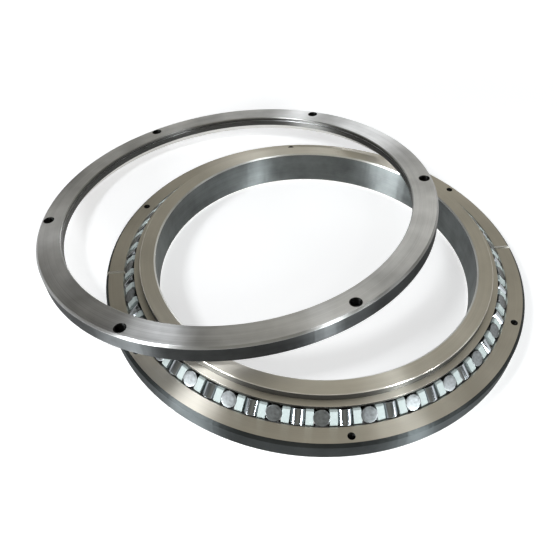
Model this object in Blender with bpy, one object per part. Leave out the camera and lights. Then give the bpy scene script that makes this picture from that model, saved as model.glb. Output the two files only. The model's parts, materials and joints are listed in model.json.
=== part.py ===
"""Crossed roller bearing, 250 mm bore, with its split outer ring opened.

The lower half of the outer ring lies on the surface, with the inner ring inside it. Between them run
short rollers, tilted in turn by +45 and -45 degrees in a 90 degree V raceway and held apart by spacers.
The upper half of the outer ring is lifted off, and leans with one edge on the surface and the edge of
its raceway on the inner ring. Metres, +Z up, the whole model centred on the origin and standing on z = 0.
"""

import math

import bmesh
import bpy
from mathutils import Matrix, Vector

# Driving dimensions of the rings, in metres
BORE_DIAMETER = 0.250
BEARING_WIDTH = 0.030
INNER_RING_DEPTH = 0.0185  # from the bore to the rollers' pitch circle
OUTER_RING_DEPTH = 0.0215  # from the pitch circle to the outer diameter
INNER_LAND_GAP = 0.0015  # from the pitch circle in to the inner ring's shoulders
OUTER_LAND_GAP = 0.0015  # from the pitch circle out to the outer ring's shoulders
SHOULDER_WIDTH = 0.005  # the low shoulder beside the inner ring's raceway, seen from above
SHOULDER_LIP = 0.0023  # thickness of that shoulder over the raceway's edge
BORE_CHAMFER = 0.0012
STEP_CHAMFER = 0.0005
LAND_CHAMFER = 0.0007
RIM_CHAMFER = 0.0015  # outer edge of each outer half, on its closed face
GROOVE_CHAMFER = 0.0020  # outer edge on the split face: two of them form the lubrication groove

# Driving dimensions of the rollers and their spacers
ROLLER_DIAMETER = 0.0110
ROLLER_END_PLAY = 0.0004  # how much shorter than its diameter a roller is
ROLLER_PAIRS = 30
RACEWAY_CLEARANCE = 0.0003
SPACER_SEAT_DEPTH = 0.0005
SPACER_CLEARANCE = 0.0006  # between a spacer and the raceway's walls
SPACER_CORNER = 0.0012

# Driving dimensions of the screw holes and the lubrication notches
SCREW_COUNT = 6
SCREW_HOLE_DIAMETER = 0.0055
SCREW_HEAD_DIAMETER = 0.0085
SCREW_HEAD_DEPTH = 0.0055
TAPPED_HOLE_DIAMETER = 0.0046
TAPPED_HOLE_FLOOR = 0.004  # metal left under a tapped hole
NOTCH_WIDTH = 0.0030
NOTCH_DEPTH = 0.0020

# How the pieces are turned and laid, in degrees and metres
LOWER_HOLES_TURN = -22.9
ROLLERS_TURN = -89.6
UPPER_HOLES_TURN = 4.8
LEAN_DISTANCE = 0.0796  # from the bearing's axis to the centre of the upper half
LEAN_DIRECTION = 144.0
LEAN_GAP = 0.0003  # between the upper half and the inner ring's edge, straight up

# Facets
RING_SEGMENTS = 64
ROLLER_SEGMENTS = 12
HOLE_SEGMENTS = 12

# Sizes worked out from the driving dimensions
BORE_RADIUS = BORE_DIAMETER / 2
PITCH_RADIUS = BORE_RADIUS + INNER_RING_DEPTH
OUTER_RADIUS = PITCH_RADIUS + OUTER_RING_DEPTH
HALF_WIDTH = BEARING_WIDTH / 2
INNER_LAND_RADIUS = PITCH_RADIUS - INNER_LAND_GAP
OUTER_LAND_RADIUS = PITCH_RADIUS + OUTER_LAND_GAP
RACEWAY_HALF = ROLLER_DIAMETER / 2 + RACEWAY_CLEARANCE
RACEWAY_REACH = RACEWAY_HALF * math.sqrt(2)  # from the pitch circle to the bottom of each V
SPLIT_EDGE_RADIUS = PITCH_RADIUS + RACEWAY_REACH
HOLE_CIRCLE_RADIUS = (SPLIT_EDGE_RADIUS + OUTER_RADIUS) / 2
ROLLER_ANGLE = math.pi / ROLLER_PAIRS  # from one roller to the next, round the axis
ROLLER_SPACING = 2 * PITCH_RADIUS * math.sin(ROLLER_ANGLE / 2)
SPACER_THICKNESS = ROLLER_SPACING - ROLLER_DIAMETER + 2 * SPACER_SEAT_DEPTH
STEP_RADIUS = INNER_LAND_RADIUS - SHOULDER_WIDTH
SHARP_ANGLE = math.radians(30)
OVERSHOOT = 0.004  # how far cutters run past what they cut


def clear_scene():
    """Remove what the file starts with."""
    for thing in list(bpy.data.objects):
        bpy.data.objects.remove(thing, do_unlink=True)


def steel(name, colour, roughness):
    """A bare metal of one colour."""
    material = bpy.data.materials.new(name)
    material.use_nodes = True
    shader = material.node_tree.nodes["Principled BSDF"]
    shader.inputs["Base Color"].default_value = (*colour, 1.0)
    shader.inputs["Roughness"].default_value = roughness
    shader.inputs["Metallic"].default_value = 1.0
    return material


def add_empty(name, location, parent=None):
    """An axis or a reference point that carries other objects."""
    empty = bpy.data.objects.new(name, None)
    empty.empty_display_size = BORE_RADIUS / 5
    empty.location = location
    empty.parent = parent
    bpy.context.scene.collection.objects.link(empty)
    return empty


def add_piece(name, mesh, material, parent):
    """One named piece of the bearing, shaded smooth between its real edges."""
    piece = bpy.data.objects.new(name, mesh)
    if not mesh.materials:
        mesh.materials.append(material)
    mesh.shade_smooth()
    mesh.set_sharp_from_angle(angle=SHARP_ANGLE)
    piece.parent = parent
    bpy.context.scene.collection.objects.link(piece)
    return piece


def turned_mesh(name, profile, segments):
    """Turn a closed profile of (radius, height) points round the Z axis.

    The profile runs down its outer side. A point on the axis becomes a single vertex.
    """
    shape = bmesh.new()
    corners = [shape.verts.new((radius, 0.0, height)) for radius, height in profile]
    edges = [shape.edges.new(pair) for pair in zip(corners, corners[1:] + corners[:1])]
    bmesh.ops.spin(
        shape,
        geom=corners + edges,
        cent=(0.0, 0.0, 0.0),
        axis=(0.0, 0.0, 1.0),
        angle=math.tau,
        steps=segments,
        use_merge=True,
    )
    bmesh.ops.remove_doubles(shape, verts=shape.verts, dist=1e-6)
    bmesh.ops.dissolve_degenerate(shape, edges=shape.edges, dist=1e-7)
    loose = [edge for edge in shape.edges if not edge.link_faces]
    bmesh.ops.delete(shape, geom=loose, context="EDGES")
    bmesh.ops.recalc_face_normals(shape, faces=shape.faces)
    mesh = bpy.data.meshes.new(name)
    shape.to_mesh(mesh)
    shape.free()
    return mesh


def repeated_mesh(name, mesh, places):
    """One mesh that holds a copy of another at each place."""
    shape = bmesh.new()
    for place in places:
        before = len(shape.verts)
        shape.from_mesh(mesh)
        shape.verts.ensure_lookup_table()
        bmesh.ops.transform(shape, matrix=place, verts=shape.verts[before:])
    result = bpy.data.meshes.new(name)
    shape.to_mesh(result)
    shape.free()
    return result


def combined_mesh(name, mesh, steps):
    """Apply a list of (operation, tool mesh) Booleans to a mesh and return the result."""
    scene_objects = bpy.context.scene.collection.objects
    body = bpy.data.objects.new(name, mesh)
    scene_objects.link(body)
    tools = []
    for operation, tool_mesh in steps:
        tool = bpy.data.objects.new(tool_mesh.name, tool_mesh)
        scene_objects.link(tool)
        tools.append(tool)
        boolean = body.modifiers.new(tool_mesh.name, "BOOLEAN")
        boolean.operation = operation
        boolean.solver = "EXACT"
        boolean.object = tool
    evaluated = body.evaluated_get(bpy.context.evaluated_depsgraph_get())
    result = bpy.data.meshes.new_from_object(evaluated)
    result.name = name
    for helper in [body] + tools:
        bpy.data.objects.remove(helper, do_unlink=True)
    return result


def ring_places(count, radius, turn, height):
    """Places evenly spaced on a circle round the axis, each turned to face outwards."""
    places = []
    for index in range(count):
        angle = math.radians(turn) + index * math.tau / count
        out = Matrix.Translation((radius, 0.0, height))
        places.append(Matrix.Rotation(angle, 4, "Z") @ out)
    return places


def outer_half_profile():
    """Section of one outer half: split face at z = 0, closed face at z = HALF_WIDTH."""
    land_height = SPLIT_EDGE_RADIUS - OUTER_LAND_RADIUS
    return [
        (OUTER_RADIUS - RIM_CHAMFER, HALF_WIDTH),
        (OUTER_RADIUS, HALF_WIDTH - RIM_CHAMFER),
        (OUTER_RADIUS, GROOVE_CHAMFER),
        (OUTER_RADIUS - GROOVE_CHAMFER, 0.0),
        (SPLIT_EDGE_RADIUS, 0.0),
        (OUTER_LAND_RADIUS, land_height),
        (OUTER_LAND_RADIUS, HALF_WIDTH - LAND_CHAMFER),
        (OUTER_LAND_RADIUS + LAND_CHAMFER, HALF_WIDTH),
    ]


def inner_ring_profile():
    """Section of the inner ring about its middle plane, from its bore down the outside."""
    raceway_height = RACEWAY_REACH - INNER_LAND_GAP
    shoulder_height = raceway_height + SHOULDER_LIP
    upper = [
        (BORE_RADIUS, HALF_WIDTH - BORE_CHAMFER),
        (BORE_RADIUS + BORE_CHAMFER, HALF_WIDTH),
        (STEP_RADIUS - STEP_CHAMFER, HALF_WIDTH),
        (STEP_RADIUS, HALF_WIDTH - STEP_CHAMFER),
        (STEP_RADIUS, shoulder_height),
        (INNER_LAND_RADIUS, shoulder_height),
        (INNER_LAND_RADIUS, raceway_height),
    ]
    raceway_bottom = (PITCH_RADIUS - RACEWAY_REACH, 0.0)
    lower = [(radius, -height) for radius, height in reversed(upper)]
    return upper + [raceway_bottom] + lower


def screw_hole_mesh():
    """Cutter for one screw: its shank's hole and the counterbore for its head."""
    head_bottom = HALF_WIDTH - SCREW_HEAD_DEPTH
    profile = [
        (0.0, HALF_WIDTH + OVERSHOOT),
        (SCREW_HEAD_DIAMETER / 2, HALF_WIDTH + OVERSHOOT),
        (SCREW_HEAD_DIAMETER / 2, head_bottom),
        (SCREW_HOLE_DIAMETER / 2, head_bottom),
        (SCREW_HOLE_DIAMETER / 2, -OVERSHOOT),
        (0.0, -OVERSHOOT),
    ]
    return turned_mesh("screw_hole_cutter", profile, HOLE_SEGMENTS)


def tapped_hole_mesh():
    """Cutter for one blind hole in the lower half, open at the split face."""
    radius = TAPPED_HOLE_DIAMETER / 2
    floor = -(HALF_WIDTH - TAPPED_HOLE_FLOOR)
    profile = [
        (0.0, OVERSHOOT),
        (radius, OVERSHOOT),
        (radius, floor),
        (0.0, floor - radius / 2),
    ]
    return turned_mesh("tapped_hole_cutter", profile, HOLE_SEGMENTS)


def notch_mesh():
    """Cutter for one lubrication notch, which runs outwards across the split face."""
    length = OUTER_RADIUS - SPLIT_EDGE_RADIUS + 2 * OVERSHOOT
    size = Vector((length, NOTCH_WIDTH, NOTCH_DEPTH + OVERSHOOT))
    shape = bmesh.new()
    bmesh.ops.create_cube(shape, size=1.0, matrix=Matrix.Diagonal(size.to_4d()))
    middle = (0.0, 0.0, (OVERSHOOT - NOTCH_DEPTH) / 2)
    bmesh.ops.translate(shape, verts=shape.verts, vec=middle)
    mesh = bpy.data.meshes.new("notch_cutter")
    shape.to_mesh(mesh)
    shape.free()
    return mesh


def outer_lower_mesh():
    """Lower half: closed face down, six tapped holes and two notches in its split face."""
    section = [(radius, -height) for radius, height in reversed(outer_half_profile())]
    blank = turned_mesh("outer_ring_lower_blank", section, RING_SEGMENTS)
    holes = ring_places(SCREW_COUNT, HOLE_CIRCLE_RADIUS, LOWER_HOLES_TURN, 0.0)
    between_holes = LOWER_HOLES_TURN + 180.0 / SCREW_COUNT
    notches = ring_places(2, HOLE_CIRCLE_RADIUS, between_holes, 0.0)
    steps = [
        ("DIFFERENCE", repeated_mesh("tapped_holes", tapped_hole_mesh(), holes)),
        ("DIFFERENCE", repeated_mesh("notches", notch_mesh(), notches)),
    ]
    return combined_mesh("outer_ring_lower", blank, steps)


def outer_upper_mesh():
    """Upper half: split face at z = 0, closed face up, six screw holes through it."""
    blank = turned_mesh("outer_ring_upper_blank", outer_half_profile(), RING_SEGMENTS)
    holes = ring_places(SCREW_COUNT, HOLE_CIRCLE_RADIUS, 0.0, 0.0)
    cutter = repeated_mesh("screw_holes", screw_hole_mesh(), holes)
    return combined_mesh("outer_ring_upper", blank, [("DIFFERENCE", cutter)])


def roller_mesh(growth=0.0):
    """A roller along Z, or the space that it needs with a clearance all round."""
    radius = ROLLER_DIAMETER / 2 + growth
    half_length = (ROLLER_DIAMETER - ROLLER_END_PLAY) / 2 + growth
    profile = [
        (0.0, half_length),
        (radius, half_length),
        (radius, -half_length),
        (0.0, -half_length),
    ]
    return turned_mesh("roller", profile, ROLLER_SEGMENTS)


def spacer_mesh():
    """A spacer block: thickness along Y, its square section turned to suit the raceway."""
    half = RACEWAY_HALF - SPACER_CLEARANCE
    cut = half - SPACER_CORNER
    section = [(half, cut), (cut, half), (-cut, half), (-half, cut)]
    section += [(-x, -z) for x, z in section]
    shape = bmesh.new()
    back = [shape.verts.new((x, -SPACER_THICKNESS / 2, z)) for x, z in section]
    face = shape.faces.new(back)
    grown = bmesh.ops.extrude_face_region(shape, geom=[face])["geom"]
    front = [part for part in grown if isinstance(part, bmesh.types.BMVert)]
    bmesh.ops.translate(shape, verts=front, vec=(0.0, SPACER_THICKNESS, 0.0))
    bmesh.ops.recalc_face_normals(shape, faces=shape.faces)
    mesh = bpy.data.meshes.new("spacer")
    shape.to_mesh(mesh)
    shape.free()
    return mesh


def raceway_place(steps, tilt):
    """Place on the pitch circle, a number of roller steps round it, tilted in the V."""
    turn = Matrix.Rotation(steps * ROLLER_ANGLE, 4, "Z")
    out = Matrix.Translation((PITCH_RADIUS, 0.0, 0.0))
    return turn @ out @ Matrix.Rotation(math.radians(tilt), 4, "Y")


def roller_pair_mesh():
    """Two crossed rollers with the spacer between them and the one after them.

    The second spacer's far side is hollowed for the next roller, which it doesn't touch.
    """
    roller = roller_mesh()
    spacer = spacer_mesh()
    next_roller = roller_mesh(RACEWAY_CLEARANCE)
    first = repeated_mesh("first_roller", roller, [raceway_place(0, 45)])
    between = repeated_mesh("middle_spacer", spacer, [raceway_place(0.5, 45)])
    second = repeated_mesh("second_roller", roller, [raceway_place(1, -45)])
    after = repeated_mesh("end_spacer", spacer, [raceway_place(1.5, 45)])
    hollow = repeated_mesh("hollow", next_roller, [raceway_place(2, 45)])
    steps = [
        ("DIFFERENCE", hollow),
        ("UNION", second),
        ("UNION", between),
        ("UNION", first),
    ]
    return combined_mesh("roller_pair", after, steps)


def lean_pose():
    """Where the upper half comes to rest: its tilt, and its split face's centre.

    The split face's inner edge crosses the inner ring's upper edge at two points, at a known distance
    from the bearing's axis along the lean. Its outer edge stands on the surface at the far side.
    """
    edge_radius = STEP_RADIUS - STEP_CHAMFER
    edge_part = edge_radius**2 - SPLIT_EDGE_RADIUS**2
    contact = (LEAN_DISTANCE**2 + edge_part) / (2 * LEAN_DISTANCE)
    foot = OUTER_RADIUS - GROOVE_CHAMFER
    rise = BEARING_WIDTH + LEAN_GAP
    tilt = math.asin(rise / (foot + LEAN_DISTANCE - contact))
    direction = math.radians(LEAN_DIRECTION)
    centre = Vector((math.cos(direction), math.sin(direction), 0.0)) * LEAN_DISTANCE
    centre.z = foot * math.sin(tilt)
    return tilt, direction, centre


def place_upper_half(piece):
    """Lay the upper half down: tilt it towards its foot, then turn its holes."""
    tilt, direction, centre = lean_pose()
    hinge = Vector((-math.sin(direction), math.cos(direction), 0.0))
    lean = Matrix.Rotation(tilt, 4, hinge)
    turn = Matrix.Rotation(math.radians(UPPER_HOLES_TURN), 4, "Z")
    piece.matrix_local = Matrix.Translation(centre) @ lean @ turn


def centre_on_origin(root, pieces):
    """Move the root so that the whole model's box is centred over the origin."""
    bpy.context.view_layer.update()
    points = [piece.matrix_world @ vertex.co for piece in pieces for vertex in piece.data.vertices]
    for axis in (0, 1):
        values = [point[axis] for point in points]
        root.location[axis] -= (min(values) + max(values)) / 2
    bpy.context.view_layer.update()


def build_bearing():
    """Make every piece and put it in its place."""
    ring_steel = steel("outer_ring_steel", (0.33, 0.32, 0.30), 0.32)
    inner_steel = steel("inner_ring_steel", (0.36, 0.34, 0.31), 0.32)
    roller_steel = steel("roller_steel", (0.62, 0.64, 0.64), 0.15)

    root = add_empty("bearing_axis", (0.0, 0.0, 0.0))
    middle = add_empty("inner_ring_axis", (0.0, 0.0, HALF_WIDTH), root)
    train = add_empty("roller_train_axis", (0.0, 0.0, HALF_WIDTH), root)
    train.rotation_euler.z = math.radians(ROLLERS_TURN)

    lower = add_piece("outer_ring_lower", outer_lower_mesh(), ring_steel, root)
    lower.location.z = HALF_WIDTH
    upper = add_piece("outer_ring_upper", outer_upper_mesh(), ring_steel, root)
    place_upper_half(upper)

    section = inner_ring_profile()
    ring_mesh = turned_mesh("inner_ring", section, RING_SEGMENTS)
    inner = add_piece("inner_ring", ring_mesh, inner_steel, middle)

    pair_mesh = roller_pair_mesh()
    pairs = []
    for index in range(ROLLER_PAIRS):
        name = f"roller_pair_{index + 1:02d}"
        pair = add_piece(name, pair_mesh, roller_steel, train)
        pair.rotation_euler.z = index * 2 * ROLLER_ANGLE
        pairs.append(pair)

    centre_on_origin(root, [lower, upper, inner] + pairs)


clear_scene()
build_bearing()
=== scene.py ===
"""Looks of the opened crossed roller bearing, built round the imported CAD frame.

The rings, rollers and spacers are rebuilt here with fine facets, rounded edges, threads and ground steel,
each at the place of the CAD node that it stands for. Metres, +Z up, in the frame's own coordinates.
"""

import json
import math

import bmesh
import bpy
from mathutils import Matrix, Vector

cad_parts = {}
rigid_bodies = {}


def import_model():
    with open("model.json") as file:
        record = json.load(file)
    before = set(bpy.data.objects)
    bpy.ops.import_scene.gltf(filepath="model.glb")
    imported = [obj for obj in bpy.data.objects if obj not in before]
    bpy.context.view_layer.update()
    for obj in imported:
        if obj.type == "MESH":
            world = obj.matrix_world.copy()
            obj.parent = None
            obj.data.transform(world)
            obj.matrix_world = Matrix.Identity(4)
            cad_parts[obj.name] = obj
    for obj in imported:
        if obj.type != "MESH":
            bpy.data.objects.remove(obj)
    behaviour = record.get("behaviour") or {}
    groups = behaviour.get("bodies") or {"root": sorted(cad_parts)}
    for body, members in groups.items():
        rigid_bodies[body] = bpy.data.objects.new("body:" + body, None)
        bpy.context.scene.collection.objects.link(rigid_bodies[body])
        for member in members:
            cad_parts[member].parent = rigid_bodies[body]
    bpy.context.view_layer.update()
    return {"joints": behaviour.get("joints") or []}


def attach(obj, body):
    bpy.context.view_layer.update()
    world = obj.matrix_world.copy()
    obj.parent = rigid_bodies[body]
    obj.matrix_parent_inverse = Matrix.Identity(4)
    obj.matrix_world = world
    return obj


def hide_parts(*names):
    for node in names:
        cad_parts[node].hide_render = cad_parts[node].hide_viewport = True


# Sizes of the rings, the same as the CAD source's
BORE_RADIUS = 0.125
PITCH_RADIUS = 0.1435
OUTER_RADIUS = 0.165
HALF_WIDTH = 0.015
INNER_LAND_RADIUS = 0.142
OUTER_LAND_RADIUS = 0.145
STEP_RADIUS = 0.137
SHOULDER_LIP = 0.0023
BORE_CHAMFER = 0.0012
STEP_CHAMFER = 0.0005
LAND_CHAMFER = 0.0007
RIM_CHAMFER = 0.0015
GROOVE_CHAMFER = 0.0020

# Sizes of the rollers and spacers, the same as the CAD source's
ROLLER_DIAMETER = 0.0110
ROLLER_LENGTH = 0.0106
ROLLER_COUNT = 60
ROLLER_TILT = 45
RACEWAY_HALF = 0.0058
SPACER_CLEARANCE = 0.0006
SPACER_CORNER = 0.0012
SPACER_SEAT_DEPTH = 0.0005

# Sizes of the holes and notches, the same as the CAD source's
SCREW_COUNT = 6
SCREW_HOLE_RADIUS = 0.00275
SCREW_HEAD_RADIUS = 0.00425
SCREW_HEAD_DEPTH = 0.0055
TAPPED_HOLE_RADIUS = 0.0023
TAPPED_HOLE_FLOOR = 0.004
NOTCH_COUNT = 2
NOTCH_WIDTH = 0.0030
NOTCH_DEPTH = 0.0020

# How the pieces lie, the same as the CAD source's
LOWER_HOLES_TURN = -22.9
ROLLERS_TURN = -89.6
UPPER_HOLES_TURN = 4.8
LEAN_DISTANCE = 0.0796
LEAN_DIRECTION = 144.0
LEAN_GAP = 0.0003

# Sizes worked out from those above
RACEWAY_REACH = RACEWAY_HALF * math.sqrt(2)
SPLIT_EDGE_RADIUS = PITCH_RADIUS + RACEWAY_REACH
HOLE_CIRCLE_RADIUS = (SPLIT_EDGE_RADIUS + OUTER_RADIUS) / 2
ROLLER_ANGLE = math.tau / ROLLER_COUNT
ROLLER_SPACING = 2 * PITCH_RADIUS * math.sin(ROLLER_ANGLE / 2)
SPACER_THICKNESS = ROLLER_SPACING - ROLLER_DIAMETER + 2 * SPACER_SEAT_DEPTH

# Fine detail that only the looks have
EDGE_ROUND = 0.00016
EDGE_STEPS = 2
EDGE_SHARE = 0.4  # the most of a side that the rounding at one of its ends may take
ROLLER_CHAMFER = 0.00045
CHAMFER_BEND = 0.3  # where the roller's chamfer bends, as a share of its size
END_RING_SHARE = 0.45  # radius of a ring of points on the roller's flat end, as a share of the roller's
SEAT_CLEARANCE = 0.00005  # between a roller and its seat in a spacer
HOLE_BREAK = 0.00035
THREAD_PITCH = 0.0008
THREAD_DEPTH = 0.00035
LAND_GROOVE_TOP = 0.0130  # heights of the groove in the upper half's bore land, over its split face
LAND_GROOVE_FLOOR = 0.0112
LAND_GROOVE_DEPTH = 0.0010

# Facets, shading and cutting
RING_SEGMENTS = 360
ROLLER_SEGMENTS = 48
HOLE_SEGMENTS = 32
SHARP_ANGLE = math.radians(40)
LARGE_FACE_WEIGHT = 100
OVERSHOOT = 0.004  # how far cutters run past what they cut
ON_AXIS = 1e-9
OWN_PLACE = "own_place"  # attribute that keeps each point's own coordinates for its texture

# Slots of a ring's materials, in the order of RING_FINISHES. The wall and land slots carry painted dark
# reflection, and the dark slot painted shade
FACE, DARKENED_WALL, RACE, EDGE, SHADE_PAINTED, DARKENED_LAND = range(6)

# Slots of a roller's materials, and the one slot of everything that has a single material
ROLLER_SIDE, ROLLER_END = range(2)
ONLY_SLOT = 0

# How the steels are mottled: fine lines, broad bands of lines and clouds, added up into one shade
FINE_ROUND, FINE_DETAIL, FINE_SHARE = 0.8, 3.0, 0.58
BROAD_ROUND, BROAD_DETAIL, BROAD_SHARE = 1.2, 2.0, 0.42
BROAD_ACROSS = 0.08  # scale of the broad bands across the lines, as a share of the fine ones'
CLOUD_DETAIL = 4.0
SHADE_SPAN = (0.3, 0.7)  # shades from which the colour and roughness go from their least to their most
LINE_BUMP_STRENGTH = 0.04
LINE_BUMP_DEPTH = 0.00002
RIPPLE_ROUND, RIPPLE_ACROSS, RIPPLE_DETAIL = 34.0, 12.0, 3.0
ACROSS_TANGENT = 0.25  # share of a turn that sets the gloss across the lines

# Finish of each surface of a ring. The face's contrast is each ring's own
RING_FINISHES = {
    "face": {
        "roughness": 0.318,
        "anisotropy": 1.0,
        "line_scale": 2600.0,
        "spread": 0.012,
        "cloud_scale": 16.0,
        "cloud_share": 0.7,
    },
    "wall": {
        "roughness": 0.47,
        "anisotropy": 1.0,
        "line_scale": 2200.0,
        "contrast": 0.40,
        "spread": 0.03,
        "cloud_scale": 50.0,
        "cloud_share": 0.65,
        "ripple": 0.00012,
    },
    "raceway": {"roughness": 0.36, "anisotropy": 0.5, "line_scale": 3000.0, "contrast": 0.04},
    "edge": {"roughness": 0.34, "anisotropy": 0.94, "line_scale": 3000.0, "contrast": 0.03},
    "dark": {"roughness": 0.47, "anisotropy": 1.0, "line_scale": 2200.0, "contrast": 0.10},
    "land": {"roughness": 0.47, "anisotropy": 1.0, "line_scale": 2200.0, "contrast": 0.08},
}

# Colours of each ring's surfaces. The walls and lands are coloured far darker than bare steel, a painted dark
# reflection, so that they read dark though the white floor mirrors in them
RACEWAY_COLOUR = (0.66, 0.65, 0.62)
LOWER_COLOURS = {
    "face": (0.65, 0.615, 0.555),
    "wall": (0.056, 0.062, 0.063),
    "raceway": RACEWAY_COLOUR,
    # painted shade: the chamfers are dimmer than the face, to hold back their highlight
    "edge": (0.42, 0.42, 0.41),
    # painted shade: the walls of the holes are near black
    "dark": (0.03, 0.03, 0.03),
    "land": (0.16, 0.16, 0.15),
}
UPPER_COLOURS = {
    "face": (0.62, 0.62, 0.63),
    "wall": (0.065, 0.068, 0.069),
    "raceway": RACEWAY_COLOUR,
    # painted shade: the chamfers are dimmer than the face, to hold back their highlight
    "edge": (0.38, 0.38, 0.375),
    # painted shade: the walls of the holes are near black
    "dark": (0.03, 0.03, 0.03),
    "land": (0.13, 0.13, 0.125),
}
INNER_COLOURS = {
    "face": (0.71, 0.675, 0.61),
    "wall": (0.170, 0.184, 0.183),
    "raceway": RACEWAY_COLOUR,
    # painted highlight: the bore chamfer is brighter than the face
    "edge": (0.80, 0.80, 0.78),
    # painted shade on the step's wall and on the walls beside the raceway
    "dark": (0.092, 0.090, 0.082),
    "land": (0.16, 0.16, 0.15),
}
LOWER_CLOUDS = 0.22
UPPER_CLOUDS = 0.55
INNER_CLOUDS = 0.22

# Finishes of the rollers and of the spacers' resin
ROLLER_SIDE_COLOUR = (0.31, 0.33, 0.35)
ROLLER_SIDE_FINISH = {
    "roughness": 0.12,
    "anisotropy": 0.0,
    "line_scale": 3000.0,
    "contrast": 0.06,
    "spread": 0.02,
}
ROLLER_END_COLOUR = (0.168, 0.177, 0.181)
ROLLER_END_FINISH = {
    "roughness": 0.36,
    "anisotropy": 0.0,
    "line_scale": 5000.0,
    "contrast": 0.55,
    "spread": 0.04,
    "cloud_scale": 420.0,
}
RESIN_COLOUR = (0.42, 0.475, 0.465)
RESIN_ROUGHNESS = 0.50
RESIN_GLOSS = 0.30
MOTTLE_SCALE = 600.0
MOTTLE_DETAIL = 3.0
MOTTLE_SPAN = (0.35, 0.65)
MOTTLE_SHADE = 0.93
MOTTLE_BUMP_STRENGTH = 0.15
MOTTLE_BUMP_DEPTH = 0.00005

# The floor, whose glow makes it white to the camera and in mirrors, and rises with distance
FLOOR_RADIUS = 6.0
FLOOR_SEGMENTS = 64
FLOOR_DROP = 0.0002
FLOOR_COLOUR = (0.80, 0.80, 0.80, 1.0)
FLOOR_ROUGHNESS = 0.9
GLOW_START, GLOW_END = 0.45, 1.20
GLOW_NEAR, GLOW_FAR = 0.50, 1.00
WHITE = (1.0, 1.0, 1.0, 1.0)

# Brightness of the room round the object, by azimuth in degrees, and overhead
ROOM_LIGHT = (
    (-180, 0.13),
    (-150, 0.10),
    (-120, 0.22),
    (-90, 0.50),
    (-60, 0.18),
    (-30, 0.12),
    (0, 0.10),
    (30, 0.14),
    (60, 0.52),
    (90, 0.42),
    (120, 0.06),
    (150, 0.17),
    (180, 0.13),
)
ROOM_TINT = (1.0, 0.97, 0.84)
CEILING_LIGHT = 0.48
CEILING_START, CEILING_FULL = 0.75, 0.97  # upward part of the direction where the ceiling takes over
BACKDROP_FULL, BACKDROP_END = 0.10, 0.28  # and where the white backdrop, low down, gives way to the room
FILL_LIGHT = 0.26  # even level of the world's light on the object

# Lamps: name, azimuth and elevation in degrees, size, power and tint
LAMP_DISTANCE = 1.5
LAMP_TARGET = (0.0, 0.0, 0.02)
COOL = (0.95, 0.98, 1.0)
COOLER = (0.93, 0.98, 1.0)
LAMPS = (
    ("left_lamp", 206.0, 50.0, 0.28, 7.6, COOL),
    ("low_left_lamp", 215.5, 9.0, 0.20, 10.4, COOL),
    ("low_middle_lamp", 225.5, 9.0, 0.20, 11.6, COOL),
    ("low_right_lamp", 313.0, 9.0, 0.22, 18.0, COOLER),
    ("right_lamp", 313.0, 50.0, 0.20, 1.2, COOL),
    ("low_side_lamp", 331.0, 9.0, 0.20, 3.0, COOL),
    ("side_lamp", 350.0, 8.0, 0.50, 0.8, COOL),
    ("high_side_lamp", 358.0, 29.0, 0.40, 0.35, COOL),
    ("back_lamp", 80.0, 15.0, 0.30, 1.0, COOL),
    ("back_left_lamp", 100.0, 15.0, 0.30, 0.30, COOL),
    ("high_back_lamp", 92.0, 30.0, 0.30, 0.30, COOL),
)

# The photograph's camera, fitted to the rings' edges
CAMERA_PLACE = (0.005015, -0.366834, 0.351620)
CAMERA_PITCH = 43.492
CAMERA_ROLL = 1.299
CAMERA_LENS = 38.21
SENSOR_WIDTH = 36.0
CLIP_START, CLIP_END = 0.01, 50.0


def new_material(name):
    """A material, with its node tree and its shader."""
    material = bpy.data.materials.new(name)
    material.use_nodes = True
    tree = material.node_tree
    return material, tree, tree.nodes["Principled BSDF"]


def put(tree, value, socket):
    """Set a socket to a constant, or link it to another node's output."""
    if isinstance(value, bpy.types.NodeSocket):
        tree.links.new(value, socket)
    else:
        socket.default_value = value


def math_node(tree, operation, first, second=None):
    """One step of arithmetic on constants or outputs."""
    node = tree.nodes.new("ShaderNodeMath")
    node.operation = operation
    put(tree, first, node.inputs[0])
    if second is not None:
        put(tree, second, node.inputs[1])
    return node.outputs[0]


def map_range(tree, value, start, end, low=0.0, high=1.0, curve="LINEAR"):
    """Carry a value from the span start to end over to the span low to high."""
    node = tree.nodes.new("ShaderNodeMapRange")
    node.interpolation_type = curve
    for name, limit in zip(("From Min", "From Max", "To Min", "To Max"), (start, end, low, high)):
        node.inputs[name].default_value = limit
    tree.links.new(value, node.inputs["Value"])
    return node.outputs["Result"]


def mixed(tree, share, first, second):
    """Blend from a first colour to a second, each a constant or an output."""
    node = tree.nodes.new("ShaderNodeMixRGB")
    tree.links.new(share, node.inputs["Fac"])
    put(tree, first, node.inputs["Color1"])
    put(tree, second, node.inputs["Color2"])
    return node.outputs["Color"]


def noise(tree, vector, scale, detail):
    """Noise at a vector."""
    node = tree.nodes.new("ShaderNodeTexNoise")
    node.inputs["Scale"].default_value = scale
    node.inputs["Detail"].default_value = detail
    tree.links.new(vector, node.inputs["Vector"])
    return node.outputs["Fac"]


def two_shades(tree, value, span, dark, light):
    """A colour that goes from dark to light over a span of values."""
    node = tree.nodes.new("ShaderNodeValToRGB")
    for stop, position, colour in zip(node.color_ramp.elements, span, (dark, light)):
        stop.position = position
        stop.color = (*colour, 1.0)
    tree.links.new(value, node.inputs[0])
    return node.outputs["Color"]


def bump(tree, height, strength, distance):
    """A bump node over a height."""
    node = tree.nodes.new("ShaderNodeBump")
    node.inputs["Strength"].default_value = strength
    node.inputs["Distance"].default_value = distance
    tree.links.new(height, node.inputs["Height"])
    return node


def own_place(tree):
    """Each point's own coordinates, kept in its mesh."""
    node = tree.nodes.new("ShaderNodeAttribute")
    node.attribute_name = OWN_PLACE
    return node.outputs["Vector"]


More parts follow.
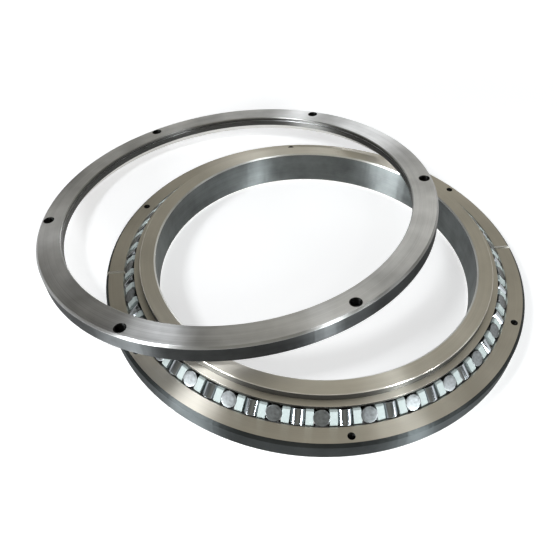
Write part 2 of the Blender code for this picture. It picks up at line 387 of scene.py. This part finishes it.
def seen_rays(tree):
    """1 for the rays of the camera, mirrors and glass, which see the white background, and 0 for others."""
    path = tree.nodes.new("ShaderNodeLightPath")
    seen = math_node(tree, "MAXIMUM", path.outputs["Is Camera Ray"], path.outputs["Is Glossy Ray"])
    return math_node(tree, "MAXIMUM", seen, path.outputs["Is Transmission Ray"])


def turned_steel(
    name,
    colour,
    roughness,
    anisotropy,
    line_scale,
    contrast,
    spread=0.02,
    cloud_scale=28.0,
    cloud_share=0.4,
    ripple=0.0,
):
    """Ground or turned steel, with fine lines that run round the piece's own axis, and faint clouds.

    contrast and spread are how far the colour and the roughness stray either way, and ripple is the depth
    of slow waves in the surface.
    """
    material, tree, shader = new_material(name)
    shader.inputs["Metallic"].default_value = 1.0
    shader.inputs["Anisotropic"].default_value = anisotropy
    shader.inputs["Anisotropic Rotation"].default_value = ACROSS_TANGENT

    place = own_place(tree)
    split = tree.nodes.new("ShaderNodeSeparateXYZ")
    tree.links.new(place, split.inputs[0])
    x_out, y_out, z_out = split.outputs
    x_square = math_node(tree, "MULTIPLY", x_out, x_out)
    y_square = math_node(tree, "MULTIPLY", y_out, y_out)
    radius = math_node(tree, "SQRT", math_node(tree, "ADD", x_square, y_square))
    along = math_node(tree, "ADD", radius, z_out)

    def ring_noise(scale_round, scale_across, detail):
        """Noise stretched round the axis: slow with the angle, quick across it."""
        join = tree.nodes.new("ShaderNodeCombineXYZ")
        for side, socket in ((x_out, join.inputs[0]), (y_out, join.inputs[1])):
            outwards = math_node(tree, "DIVIDE", side, radius)
            tree.links.new(math_node(tree, "MULTIPLY", outwards, scale_round), socket)
        tree.links.new(math_node(tree, "MULTIPLY", along, scale_across), join.inputs[2])
        return noise(tree, join.outputs[0], 1.0, detail)

    fine = ring_noise(FINE_ROUND, line_scale, FINE_DETAIL)
    broad = ring_noise(BROAD_ROUND, line_scale * BROAD_ACROSS, BROAD_DETAIL)
    cloud = noise(tree, place, cloud_scale, CLOUD_DETAIL)
    line_share = 1.0 - cloud_share
    fine_part = math_node(tree, "MULTIPLY", fine, FINE_SHARE * line_share)
    broad_part = math_node(tree, "MULTIPLY", broad, BROAD_SHARE * line_share)
    cloud_part = math_node(tree, "MULTIPLY", cloud, cloud_share)
    shade = math_node(tree, "ADD", math_node(tree, "ADD", fine_part, broad_part), cloud_part)

    dark = [part * (1.0 - contrast) for part in colour]
    light = [min(1.0, part * (1.0 + contrast)) for part in colour]
    tree.links.new(two_shades(tree, shade, SHADE_SPAN, dark, light), shader.inputs["Base Color"])
    gloss = map_range(tree, shade, *SHADE_SPAN, roughness - spread, roughness + spread)
    tree.links.new(gloss, shader.inputs["Roughness"])

    lines = bump(tree, fine, LINE_BUMP_STRENGTH, LINE_BUMP_DEPTH)
    tree.links.new(lines.outputs["Normal"], shader.inputs["Normal"])
    if ripple:
        waves = bump(tree, ring_noise(RIPPLE_ROUND, RIPPLE_ACROSS, RIPPLE_DETAIL), 1.0, ripple)
        tree.links.new(waves.outputs["Normal"], lines.inputs["Normal"])

    tangent = tree.nodes.new("ShaderNodeTangent")
    tangent.direction_type = "RADIAL"
    tangent.axis = "Z"
    tree.links.new(tangent.outputs["Tangent"], shader.inputs["Tangent"])
    return material


def resin(name, colour):
    """Pale moulded plastic with a faint mottle."""
    material, tree, shader = new_material(name)
    shader.inputs["Roughness"].default_value = RESIN_ROUGHNESS
    shader.inputs["Specular IOR Level"].default_value = RESIN_GLOSS
    mottle = noise(tree, own_place(tree), MOTTLE_SCALE, MOTTLE_DETAIL)
    dark = [part * MOTTLE_SHADE for part in colour]
    tree.links.new(two_shades(tree, mottle, MOTTLE_SPAN, dark, colour), shader.inputs["Base Color"])
    grain = bump(tree, mottle, MOTTLE_BUMP_STRENGTH, MOTTLE_BUMP_DEPTH)
    tree.links.new(grain.outputs["Normal"], shader.inputs["Normal"])
    return material


def rounded(profile):
    """Replace each corner of a closed profile by a small arc.

    profile holds (radius, height, slot) corners, where slot is the material of the face after the corner.
    """
    result = []
    for index, (radius, height, slot) in enumerate(profile):
        corner = Vector((radius, height))
        before_r, before_h, before_slot = profile[index - 1]
        after_r, after_h, _ = profile[(index + 1) % len(profile)]
        to_before = Vector((before_r, before_h)) - corner
        to_after = Vector((after_r, after_h)) - corner
        cut = min(EDGE_ROUND, to_before.length * EDGE_SHARE, to_after.length * EDGE_SHARE)
        start = corner + to_before.normalized() * cut
        end = corner + to_after.normalized() * cut
        for step in range(EDGE_STEPS + 1):
            share = step / EDGE_STEPS
            point = start * (1 - share) ** 2 + corner * 2 * share * (1 - share) + end * share**2
            result.append((point.x, point.y, slot if step == EDGE_STEPS else before_slot))
    return result


def lathe(name, profile, segments, closed=True):
    """Turn (radius, height, slot) corners round Z. An open profile's last corner isn't joined to its first."""
    shape = bmesh.new()
    rings = []
    for radius, height, _ in profile:
        if radius < ON_AXIS:
            rings.append([shape.verts.new((0.0, 0.0, height))] * segments)
            continue
        ring = []
        for index in range(segments):
            angle = math.tau * index / segments
            ring.append(shape.verts.new((radius * math.cos(angle), radius * math.sin(angle), height)))
        rings.append(ring)
    count = len(profile)
    for index in range(count if closed else count - 1):
        first, second = rings[index], rings[(index + 1) % count]
        for step in range(segments):
            after = (step + 1) % segments
            corners = [first[step], first[after], second[after], second[step]]
            corners = [c for i, c in enumerate(corners) if c not in corners[:i]]
            if len(corners) > 2:
                face = shape.faces.new(corners)
                face.material_index = profile[index][2]
    bmesh.ops.recalc_face_normals(shape, faces=shape.faces)
    mesh = bpy.data.meshes.new(name)
    shape.to_mesh(mesh)
    shape.free()
    return mesh


def repeated(name, mesh, places):
    """One mesh that holds a copy of another at each place."""
    shape = bmesh.new()
    for place in places:
        before = len(shape.verts)
        shape.from_mesh(mesh)
        shape.verts.ensure_lookup_table()
        bmesh.ops.transform(shape, matrix=place, verts=shape.verts[before:])
    result = bpy.data.meshes.new(name)
    shape.to_mesh(result)
    shape.free()
    return result


def carved(name, mesh, cutters):
    """A mesh with others cut out of it. Each new face takes the number of its cutter's material."""
    stand_ins = [bpy.data.materials.new(f"{name}_{index}") for index in range(len(RING_FINISHES))]
    for part in [mesh] + cutters:
        for material in stand_ins:
            part.materials.append(material)
    scene_objects = bpy.context.scene.collection.objects
    body = bpy.data.objects.new(name, mesh)
    scene_objects.link(body)
    tools = []
    for cutter in cutters:
        tool = bpy.data.objects.new(cutter.name, cutter)
        scene_objects.link(tool)
        tools.append(tool)
        boolean = body.modifiers.new(cutter.name, "BOOLEAN")
        boolean.operation = "DIFFERENCE"
        boolean.solver = "EXACT"
        boolean.object = tool
    evaluated = body.evaluated_get(bpy.context.evaluated_depsgraph_get())
    result = bpy.data.meshes.new_from_object(evaluated)
    result.name = name
    for helper in [body] + tools:
        bpy.data.objects.remove(helper, do_unlink=True)
    for material in stand_ins:
        bpy.data.materials.remove(material)
    return result


def around(count, radius, turn):
    """Places evenly spaced on a circle round the axis, each turned to face outwards."""
    places = []
    for index in range(count):
        angle = math.radians(turn) + index * math.tau / count
        places.append(Matrix.Rotation(angle, 4, "Z") @ Matrix.Translation((radius, 0.0, 0.0)))
    return places


def dress(mesh, materials):
    """Give a mesh its materials and shading, and keep each point's own coordinates for its texture."""
    for index, material in enumerate(materials):
        if index < len(mesh.materials):
            mesh.materials[index] = material
        else:
            mesh.materials.append(material)
    own = mesh.attributes.new(OWN_PLACE, "FLOAT_VECTOR", "POINT")
    for vertex, value in zip(mesh.vertices, own.data):
        value.vector = vertex.co
    mesh.shade_smooth()
    mesh.set_sharp_from_angle(angle=SHARP_ANGLE)


def add_piece(name, mesh, place, body, node):
    """One visible piece, which rides on a body and stands for a CAD node, or for a part of one."""
    piece = bpy.data.objects.new(name, mesh)
    bpy.context.scene.collection.objects.link(piece)
    piece.matrix_world = place
    weighted = piece.modifiers.new("weighted_normals", "WEIGHTED_NORMAL")
    weighted.weight = LARGE_FACE_WEIGHT
    weighted.keep_sharp = True
    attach(piece, body)
    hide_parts(node)


def outer_half_section(sign):
    """Section of an outer half, its split face at z = 0 and its closed face at sign * HALF_WIDTH.

    Only the upper half, with sign 1, has the groove in its bore land.
    """
    groove_bottom = OUTER_LAND_RADIUS + LAND_GROOVE_DEPTH
    groove = [
        (OUTER_LAND_RADIUS, LAND_GROOVE_FLOOR, FACE),
        (groove_bottom, LAND_GROOVE_FLOOR, DARKENED_LAND),
        (groove_bottom, LAND_GROOVE_TOP, DARKENED_LAND),
        (OUTER_LAND_RADIUS, LAND_GROOVE_TOP, DARKENED_LAND),
    ]
    corners = [
        (OUTER_RADIUS - RIM_CHAMFER, HALF_WIDTH, EDGE),
        (OUTER_RADIUS, HALF_WIDTH - RIM_CHAMFER, DARKENED_WALL),
        (OUTER_RADIUS, GROOVE_CHAMFER, DARKENED_WALL),
        (OUTER_RADIUS - GROOVE_CHAMFER, 0.0, FACE),
        (SPLIT_EDGE_RADIUS, 0.0, RACE),
        (OUTER_LAND_RADIUS, SPLIT_EDGE_RADIUS - OUTER_LAND_RADIUS, DARKENED_LAND),
        *(groove if sign > 0 else []),
        (OUTER_LAND_RADIUS, HALF_WIDTH - LAND_CHAMFER, EDGE),
        (OUTER_LAND_RADIUS + LAND_CHAMFER, HALF_WIDTH, FACE),
    ]
    return rounded([(radius, sign * height, slot) for radius, height, slot in corners])


def inner_ring_section():
    """Section of the inner ring about its middle plane, from its bore down the outside."""
    race = RACEWAY_REACH - (PITCH_RADIUS - INNER_LAND_RADIUS)
    shoulder = race + SHOULDER_LIP
    # The step's wall and the walls beside the raceway take the dark slot, which is coloured as painted shade
    corners = [
        (BORE_RADIUS, HALF_WIDTH - BORE_CHAMFER, EDGE),
        (BORE_RADIUS + BORE_CHAMFER, HALF_WIDTH, FACE),
        (STEP_RADIUS - STEP_CHAMFER, HALF_WIDTH, FACE),
        (STEP_RADIUS, HALF_WIDTH - STEP_CHAMFER, SHADE_PAINTED),
        (STEP_RADIUS, shoulder, FACE),
        (INNER_LAND_RADIUS, shoulder, SHADE_PAINTED),
        (INNER_LAND_RADIUS, race, RACE),
        (PITCH_RADIUS - RACEWAY_REACH, 0.0, RACE),
        (INNER_LAND_RADIUS, -race, SHADE_PAINTED),
        (INNER_LAND_RADIUS, -shoulder, FACE),
        (STEP_RADIUS, -shoulder, SHADE_PAINTED),
        (STEP_RADIUS, STEP_CHAMFER - HALF_WIDTH, FACE),
        (STEP_RADIUS - STEP_CHAMFER, -HALF_WIDTH, FACE),
        (BORE_RADIUS + BORE_CHAMFER, -HALF_WIDTH, EDGE),
        (BORE_RADIUS, BORE_CHAMFER - HALF_WIDTH, DARKENED_WALL),
    ]
    return rounded(corners)


def screw_hole_cutter():
    """Cutter for one screw hole with its counterbore, whose mouths are broken all round."""
    head_bottom = HALF_WIDTH - SCREW_HEAD_DEPTH
    # The counterbore and the hole's walls take the dark slot, which is coloured near black as painted shade
    profile = [
        (0.0, HALF_WIDTH + OVERSHOOT, SHADE_PAINTED),
        (SCREW_HEAD_RADIUS + HOLE_BREAK + OVERSHOOT, HALF_WIDTH + OVERSHOOT, SHADE_PAINTED),
        (SCREW_HEAD_RADIUS, HALF_WIDTH - HOLE_BREAK, SHADE_PAINTED),
        (SCREW_HEAD_RADIUS, head_bottom, SHADE_PAINTED),
        (SCREW_HOLE_RADIUS, head_bottom, SHADE_PAINTED),
        (SCREW_HOLE_RADIUS, HOLE_BREAK, EDGE),
        (SCREW_HOLE_RADIUS + HOLE_BREAK + OVERSHOOT, -OVERSHOOT, EDGE),
        (0.0, -OVERSHOOT, EDGE),
    ]
    return lathe("screw_hole_cutter", profile, HOLE_SEGMENTS, closed=False)


def tapped_hole_cutter():
    """Cutter for one blind tapped hole with its thread's ridges, open at the split face."""
    floor = TAPPED_HOLE_FLOOR - HALF_WIDTH
    # The tapped hole's walls and thread take the dark slot, which is coloured near black as painted shade
    profile = [
        (0.0, OVERSHOOT, SHADE_PAINTED),
        (TAPPED_HOLE_RADIUS + HOLE_BREAK + OVERSHOOT, OVERSHOOT, SHADE_PAINTED),
        (TAPPED_HOLE_RADIUS, -HOLE_BREAK, SHADE_PAINTED),
    ]
    height = -HOLE_BREAK - THREAD_PITCH
    while height > floor + THREAD_PITCH:
        profile.append((TAPPED_HOLE_RADIUS + THREAD_DEPTH, height + THREAD_PITCH / 2, SHADE_PAINTED))
        profile.append((TAPPED_HOLE_RADIUS, height, SHADE_PAINTED))
        height -= THREAD_PITCH
    profile.append((TAPPED_HOLE_RADIUS, floor, SHADE_PAINTED))
    profile.append((0.0, floor - TAPPED_HOLE_RADIUS / 2, SHADE_PAINTED))
    return lathe("tapped_hole_cutter", profile, HOLE_SEGMENTS, closed=False)


def notch_cutter():
    """Cutter for one lubrication notch across the split face."""
    length = OUTER_RADIUS - SPLIT_EDGE_RADIUS + 2 * OVERSHOOT
    size = Vector((length, NOTCH_WIDTH, NOTCH_DEPTH + OVERSHOOT))
    shape = bmesh.new()
    bmesh.ops.create_cube(shape, size=1.0, matrix=Matrix.Diagonal(size.to_4d()))
    bmesh.ops.translate(shape, verts=shape.verts, vec=(0.0, 0.0, (OVERSHOOT - NOTCH_DEPTH) / 2))
    for face in shape.faces:
        face.material_index = RACE
    mesh = bpy.data.meshes.new("notch_cutter")
    shape.to_mesh(mesh)
    shape.free()
    return mesh


def roller_mesh():
    """A roller along Z, with chamfered ends."""
    radius = ROLLER_DIAMETER / 2
    half = ROLLER_LENGTH / 2
    bend = ROLLER_CHAMFER * CHAMFER_BEND
    upper = [
        (0.0, half, ROLLER_END),
        (radius * END_RING_SHARE, half, ROLLER_END),
        (radius - ROLLER_CHAMFER, half, ROLLER_END),
        (radius - bend, half - bend, ROLLER_END),
        (radius, half - ROLLER_CHAMFER, ROLLER_SIDE),
    ]
    lower = [
        (radius, ROLLER_CHAMFER - half, ROLLER_END),
        (radius - bend, bend - half, ROLLER_END),
        (radius - ROLLER_CHAMFER, -half, ROLLER_END),
        (radius * END_RING_SHARE, -half, ROLLER_END),
        (0.0, -half, ROLLER_END),
    ]
    return lathe("roller", upper + lower, ROLLER_SEGMENTS, closed=False)


def roller_place(steps, tilt):
    """Place on the pitch circle, a number of roller steps round it, tilted in the V."""
    turn = Matrix.Rotation(steps * ROLLER_ANGLE, 4, "Z")
    lean = Matrix.Rotation(math.radians(tilt), 4, "Y")
    return turn @ Matrix.Translation((PITCH_RADIUS, 0.0, 0.0)) @ lean


def spacer_block(name):
    """The plain block of a spacer: thickness along Y, its square section turned to suit the raceway."""
    half = RACEWAY_HALF - SPACER_CLEARANCE
    cut = half - SPACER_CORNER
    section = [(half, cut), (cut, half), (-cut, half), (-half, cut)]
    section += [(-x, -z) for x, z in section]
    shape = bmesh.new()
    back = [shape.verts.new((x, -SPACER_THICKNESS / 2, z)) for x, z in section]
    face = shape.faces.new(back)
    grown = bmesh.ops.extrude_face_region(shape, geom=[face])["geom"]
    front = [part for part in grown if isinstance(part, bmesh.types.BMVert)]
    bmesh.ops.translate(shape, verts=front, vec=(0.0, SPACER_THICKNESS, 0.0))
    lean = Matrix.Rotation(math.radians(ROLLER_TILT), 4, "Y")
    bmesh.ops.transform(shape, matrix=lean, verts=shape.verts)
    bmesh.ops.recalc_face_normals(shape, faces=shape.faces)
    mesh = bpy.data.meshes.new(name)
    shape.to_mesh(mesh)
    shape.free()
    return mesh


def spacer_mesh(name, first_tilt):
    """A spacer hollowed on both sides for the rollers next to it, which are tilted opposite ways."""
    radius = ROLLER_DIAMETER / 2 + SEAT_CLEARANCE
    profile = [
        (0.0, ROLLER_DIAMETER, ONLY_SLOT),
        (radius, ROLLER_DIAMETER, ONLY_SLOT),
        (radius, -ROLLER_DIAMETER, ONLY_SLOT),
        (0.0, -ROLLER_DIAMETER, ONLY_SLOT),
    ]
    to_spacer = roller_place(0.5, 0.0).inverted()
    cutters = []
    for steps, tilt in ((0.0, first_tilt), (1.0, -first_tilt)):
        seat = lathe(f"{name}_seat", profile, ROLLER_SEGMENTS, closed=False)
        seat.transform(to_spacer @ roller_place(steps, tilt))
        cutters.append(seat)
    return carved(name, spacer_block(name), cutters)


def lean_matrix():
    """Where the upper half rests, one edge on the floor and the other on the inner ring."""
    edge_radius = STEP_RADIUS - STEP_CHAMFER
    contact = (LEAN_DISTANCE**2 + edge_radius**2 - SPLIT_EDGE_RADIUS**2) / (2 * LEAN_DISTANCE)
    foot = OUTER_RADIUS - GROOVE_CHAMFER
    tilt = math.asin((2 * HALF_WIDTH + LEAN_GAP) / (foot + LEAN_DISTANCE - contact))
    direction = math.radians(LEAN_DIRECTION)
    centre = Vector((math.cos(direction), math.sin(direction), 0.0)) * LEAN_DISTANCE
    centre.z = foot * math.sin(tilt)
    hinge = Vector((-math.sin(direction), math.cos(direction), 0.0))
    turn = Matrix.Rotation(math.radians(UPPER_HOLES_TURN), 4, "Z")
    return Matrix.Translation(centre) @ Matrix.Rotation(tilt, 4, hinge) @ turn


def add_ring(node, name, mesh, place, body, slot, colours, clouds):
    """A ring in its finishes, its place kept in its mesh, in place of its CAD node."""
    steels = []
    for surface, finish in RING_FINISHES.items():
        settings = {"contrast": clouds, **finish}
        steels.append(turned_steel(f"{name}_{surface}", colours[surface], **settings))
    dress(mesh, steels)
    mesh.transform(place)
    add_piece(name, mesh, Matrix.Identity(4), body, node)


def build_rings(axis):
    """The three rings, each in place of its CAD node."""
    base = Matrix.Translation(axis)
    middle = base @ Matrix.Translation((0.0, 0.0, HALF_WIDTH))
    outer = ("outer_ring", "outer_ring_steel")
    inner = ("inner_ring", "inner_ring_steel")

    name = "outer_lower_fine"
    blank = lathe("outer_lower_blank", outer_half_section(-1), RING_SEGMENTS)
    holes = around(SCREW_COUNT, HOLE_CIRCLE_RADIUS, LOWER_HOLES_TURN)
    between_holes = LOWER_HOLES_TURN + 180.0 / SCREW_COUNT
    notches = around(NOTCH_COUNT, HOLE_CIRCLE_RADIUS, between_holes)
    tapped_holes = repeated("tapped_holes", tapped_hole_cutter(), holes)
    mesh = carved(name, blank, [tapped_holes, repeated("notches", notch_cutter(), notches)])
    add_ring("outer_ring_lower", name, mesh, middle, *outer, LOWER_COLOURS, LOWER_CLOUDS)

    name = "outer_upper_fine"
    blank = lathe("outer_upper_blank", outer_half_section(1), RING_SEGMENTS)
    holes = around(SCREW_COUNT, HOLE_CIRCLE_RADIUS, 0.0)
    mesh = carved(name, blank, [repeated("screw_holes", screw_hole_cutter(), holes)])
    leaning = base @ lean_matrix()
    add_ring("outer_ring_upper", name, mesh, leaning, *outer, UPPER_COLOURS, UPPER_CLOUDS)

    name = "inner_ring_fine"
    mesh = lathe(name, inner_ring_section(), RING_SEGMENTS)
    add_ring("inner_ring", name, mesh, middle, *inner, INNER_COLOURS, INNER_CLOUDS)


def build_rollers(axis):
    """Sixty crossed rollers and the spacers between them, two of each for every CAD node."""
    sides = turned_steel("roller_side", ROLLER_SIDE_COLOUR, **ROLLER_SIDE_FINISH)
    ends = turned_steel("roller_end", ROLLER_END_COLOUR, **ROLLER_END_FINISH)
    pale = resin("spacer_resin", RESIN_COLOUR)
    roller = roller_mesh()
    spacers = [spacer_mesh("spacer_out_in", ROLLER_TILT), spacer_mesh("spacer_in_out", -ROLLER_TILT)]
    dress(roller, [sides, ends])
    for mesh in spacers:
        dress(mesh, [pale])
    train = Matrix.Translation(axis + Vector((0.0, 0.0, HALF_WIDTH)))
    train = train @ Matrix.Rotation(math.radians(ROLLERS_TURN), 4, "Z")
    for index in range(ROLLER_COUNT):
        node = f"roller_pair_{index // 2 + 1:02d}"
        tilt = ROLLER_TILT if index % 2 == 0 else -ROLLER_TILT
        place = train @ roller_place(index, tilt)
        add_piece(f"roller_{index + 1:02d}", roller, place, "roller_train", node)
        place = train @ roller_place(index + 0.5, 0.0)
        mesh = spacers[index % 2]
        add_piece(f"spacer_{index + 1:02d}", mesh, place, "roller_train", node)


def add_floor():
    """Plain pale floor that shows white to the camera and keeps the object's shadow."""
    profile = [(0.0, 0.0, ONLY_SLOT), (FLOOR_RADIUS, 0.0, ONLY_SLOT)]
    mesh = lathe("floor", profile, FLOOR_SEGMENTS, closed=False)
    floor = bpy.data.objects.new("floor", mesh)
    bpy.context.scene.collection.objects.link(floor)
    material, tree, shader = new_material("floor")
    shader.inputs["Base Color"].default_value = FLOOR_COLOUR
    shader.inputs["Roughness"].default_value = FLOOR_ROUGHNESS
    shader.inputs["Specular IOR Level"].default_value = 0.0
    shader.inputs["Emission Color"].default_value = WHITE
    place = tree.nodes.new("ShaderNodeTexCoord")
    distance = tree.nodes.new("ShaderNodeVectorMath")
    distance.operation = "LENGTH"
    tree.links.new(place.outputs["Object"], distance.inputs[0])
    span = (GLOW_START, GLOW_END, GLOW_NEAR, GLOW_FAR)
    glow = map_range(tree, distance.outputs["Value"], *span, curve="SMOOTHSTEP")
    level = math_node(tree, "MULTIPLY", seen_rays(tree), glow)
    tree.links.new(level, shader.inputs["Emission Strength"])
    mesh.materials.append(material)
    floor.location.z = -FLOOR_DROP


def room_colour(level):
    """The room's slightly warm grey at a level."""
    return (*[level * part for part in ROOM_TINT], 1.0)


def add_world():
    """World with a white backdrop all round, low down, under a dimmer and uneven room.

    Only the camera, mirrors and glass see those. The light on the object is even.
    """
    world = bpy.data.worlds.new("studio")
    bpy.context.scene.world = world
    world.use_nodes = True
    tree = world.node_tree
    place = tree.nodes.new("ShaderNodeTexCoord")
    split = tree.nodes.new("ShaderNodeSeparateXYZ")
    tree.links.new(place.outputs["Generated"], split.inputs[0])

    azimuth = math_node(tree, "ARCTAN2", split.outputs["Y"], split.outputs["X"])
    room = tree.nodes.new("ShaderNodeValToRGB")
    room.color_ramp.interpolation = "B_SPLINE"
    stops = room.color_ramp.elements
    stops.remove(stops[1])
    for index, (angle, level) in enumerate(ROOM_LIGHT):
        position = angle / 360 + 0.5
        stop = stops[0] if index == 0 else stops.new(position)
        stop.position = position
        stop.color = room_colour(level)
    tree.links.new(map_range(tree, azimuth, -math.pi, math.pi), room.inputs[0])

    height = split.outputs["Z"]
    overhead = map_range(tree, height, CEILING_START, CEILING_FULL, curve="SMOOTHSTEP")
    ceiling = mixed(tree, overhead, room.outputs["Color"], room_colour(CEILING_LIGHT))
    low_down = map_range(tree, height, BACKDROP_FULL, BACKDROP_END, 1.0, 0.0, curve="SMOOTHSTEP")
    surroundings = mixed(tree, low_down, ceiling, WHITE)
    fill = (FILL_LIGHT, FILL_LIGHT, FILL_LIGHT, 1.0)
    shown = mixed(tree, seen_rays(tree), fill, surroundings)
    tree.links.new(shown, tree.nodes["Background"].inputs["Color"])


def add_lamp(name, azimuth, elevation, size, power, tint):
    """A soft square lamp at LAMP_DISTANCE, turned to the object."""
    turn, rise = math.radians(azimuth), math.radians(elevation)
    across = math.cos(rise) * LAMP_DISTANCE
    place = Vector((across * math.cos(turn), across * math.sin(turn), LAMP_DISTANCE * math.sin(rise)))
    lamp = bpy.data.lights.new(name, "AREA")
    lamp.shape = "SQUARE"
    lamp.size = size
    lamp.energy = power
    lamp.color = tint
    light = bpy.data.objects.new(name, lamp)
    light.location = place
    light.rotation_euler = (Vector(LAMP_TARGET) - place).to_track_quat("-Z", "Y").to_euler()
    bpy.context.scene.collection.objects.link(light)


def add_camera():
    """The photograph's camera."""
    lens = bpy.data.cameras.new("camera")
    lens.lens = CAMERA_LENS
    lens.sensor_width = SENSOR_WIDTH
    lens.clip_start = CLIP_START
    lens.clip_end = CLIP_END
    camera = bpy.data.objects.new("camera", lens)
    bpy.context.scene.collection.objects.link(camera)
    pitch = Matrix.Rotation(math.radians(CAMERA_PITCH), 4, "X")
    roll = Matrix.Rotation(math.radians(CAMERA_ROLL), 4, "Z")
    camera.matrix_world = Matrix.Translation(CAMERA_PLACE) @ pitch @ roll
    bpy.context.scene.camera = camera


for thing in list(bpy.data.objects):
    bpy.data.objects.remove(thing, do_unlink=True)
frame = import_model()
joint_place = Vector(frame["joints"][0]["pos_m"])
bearing_axis = Vector((joint_place.x, joint_place.y, 0.0))
add_camera()
build_rings(bearing_axis)
build_rollers(bearing_axis)
add_floor()
add_world()
for lamp_values in LAMPS:
    add_lamp(*lamp_values)
bpy.context.scene.view_settings.view_transform = "Standard"
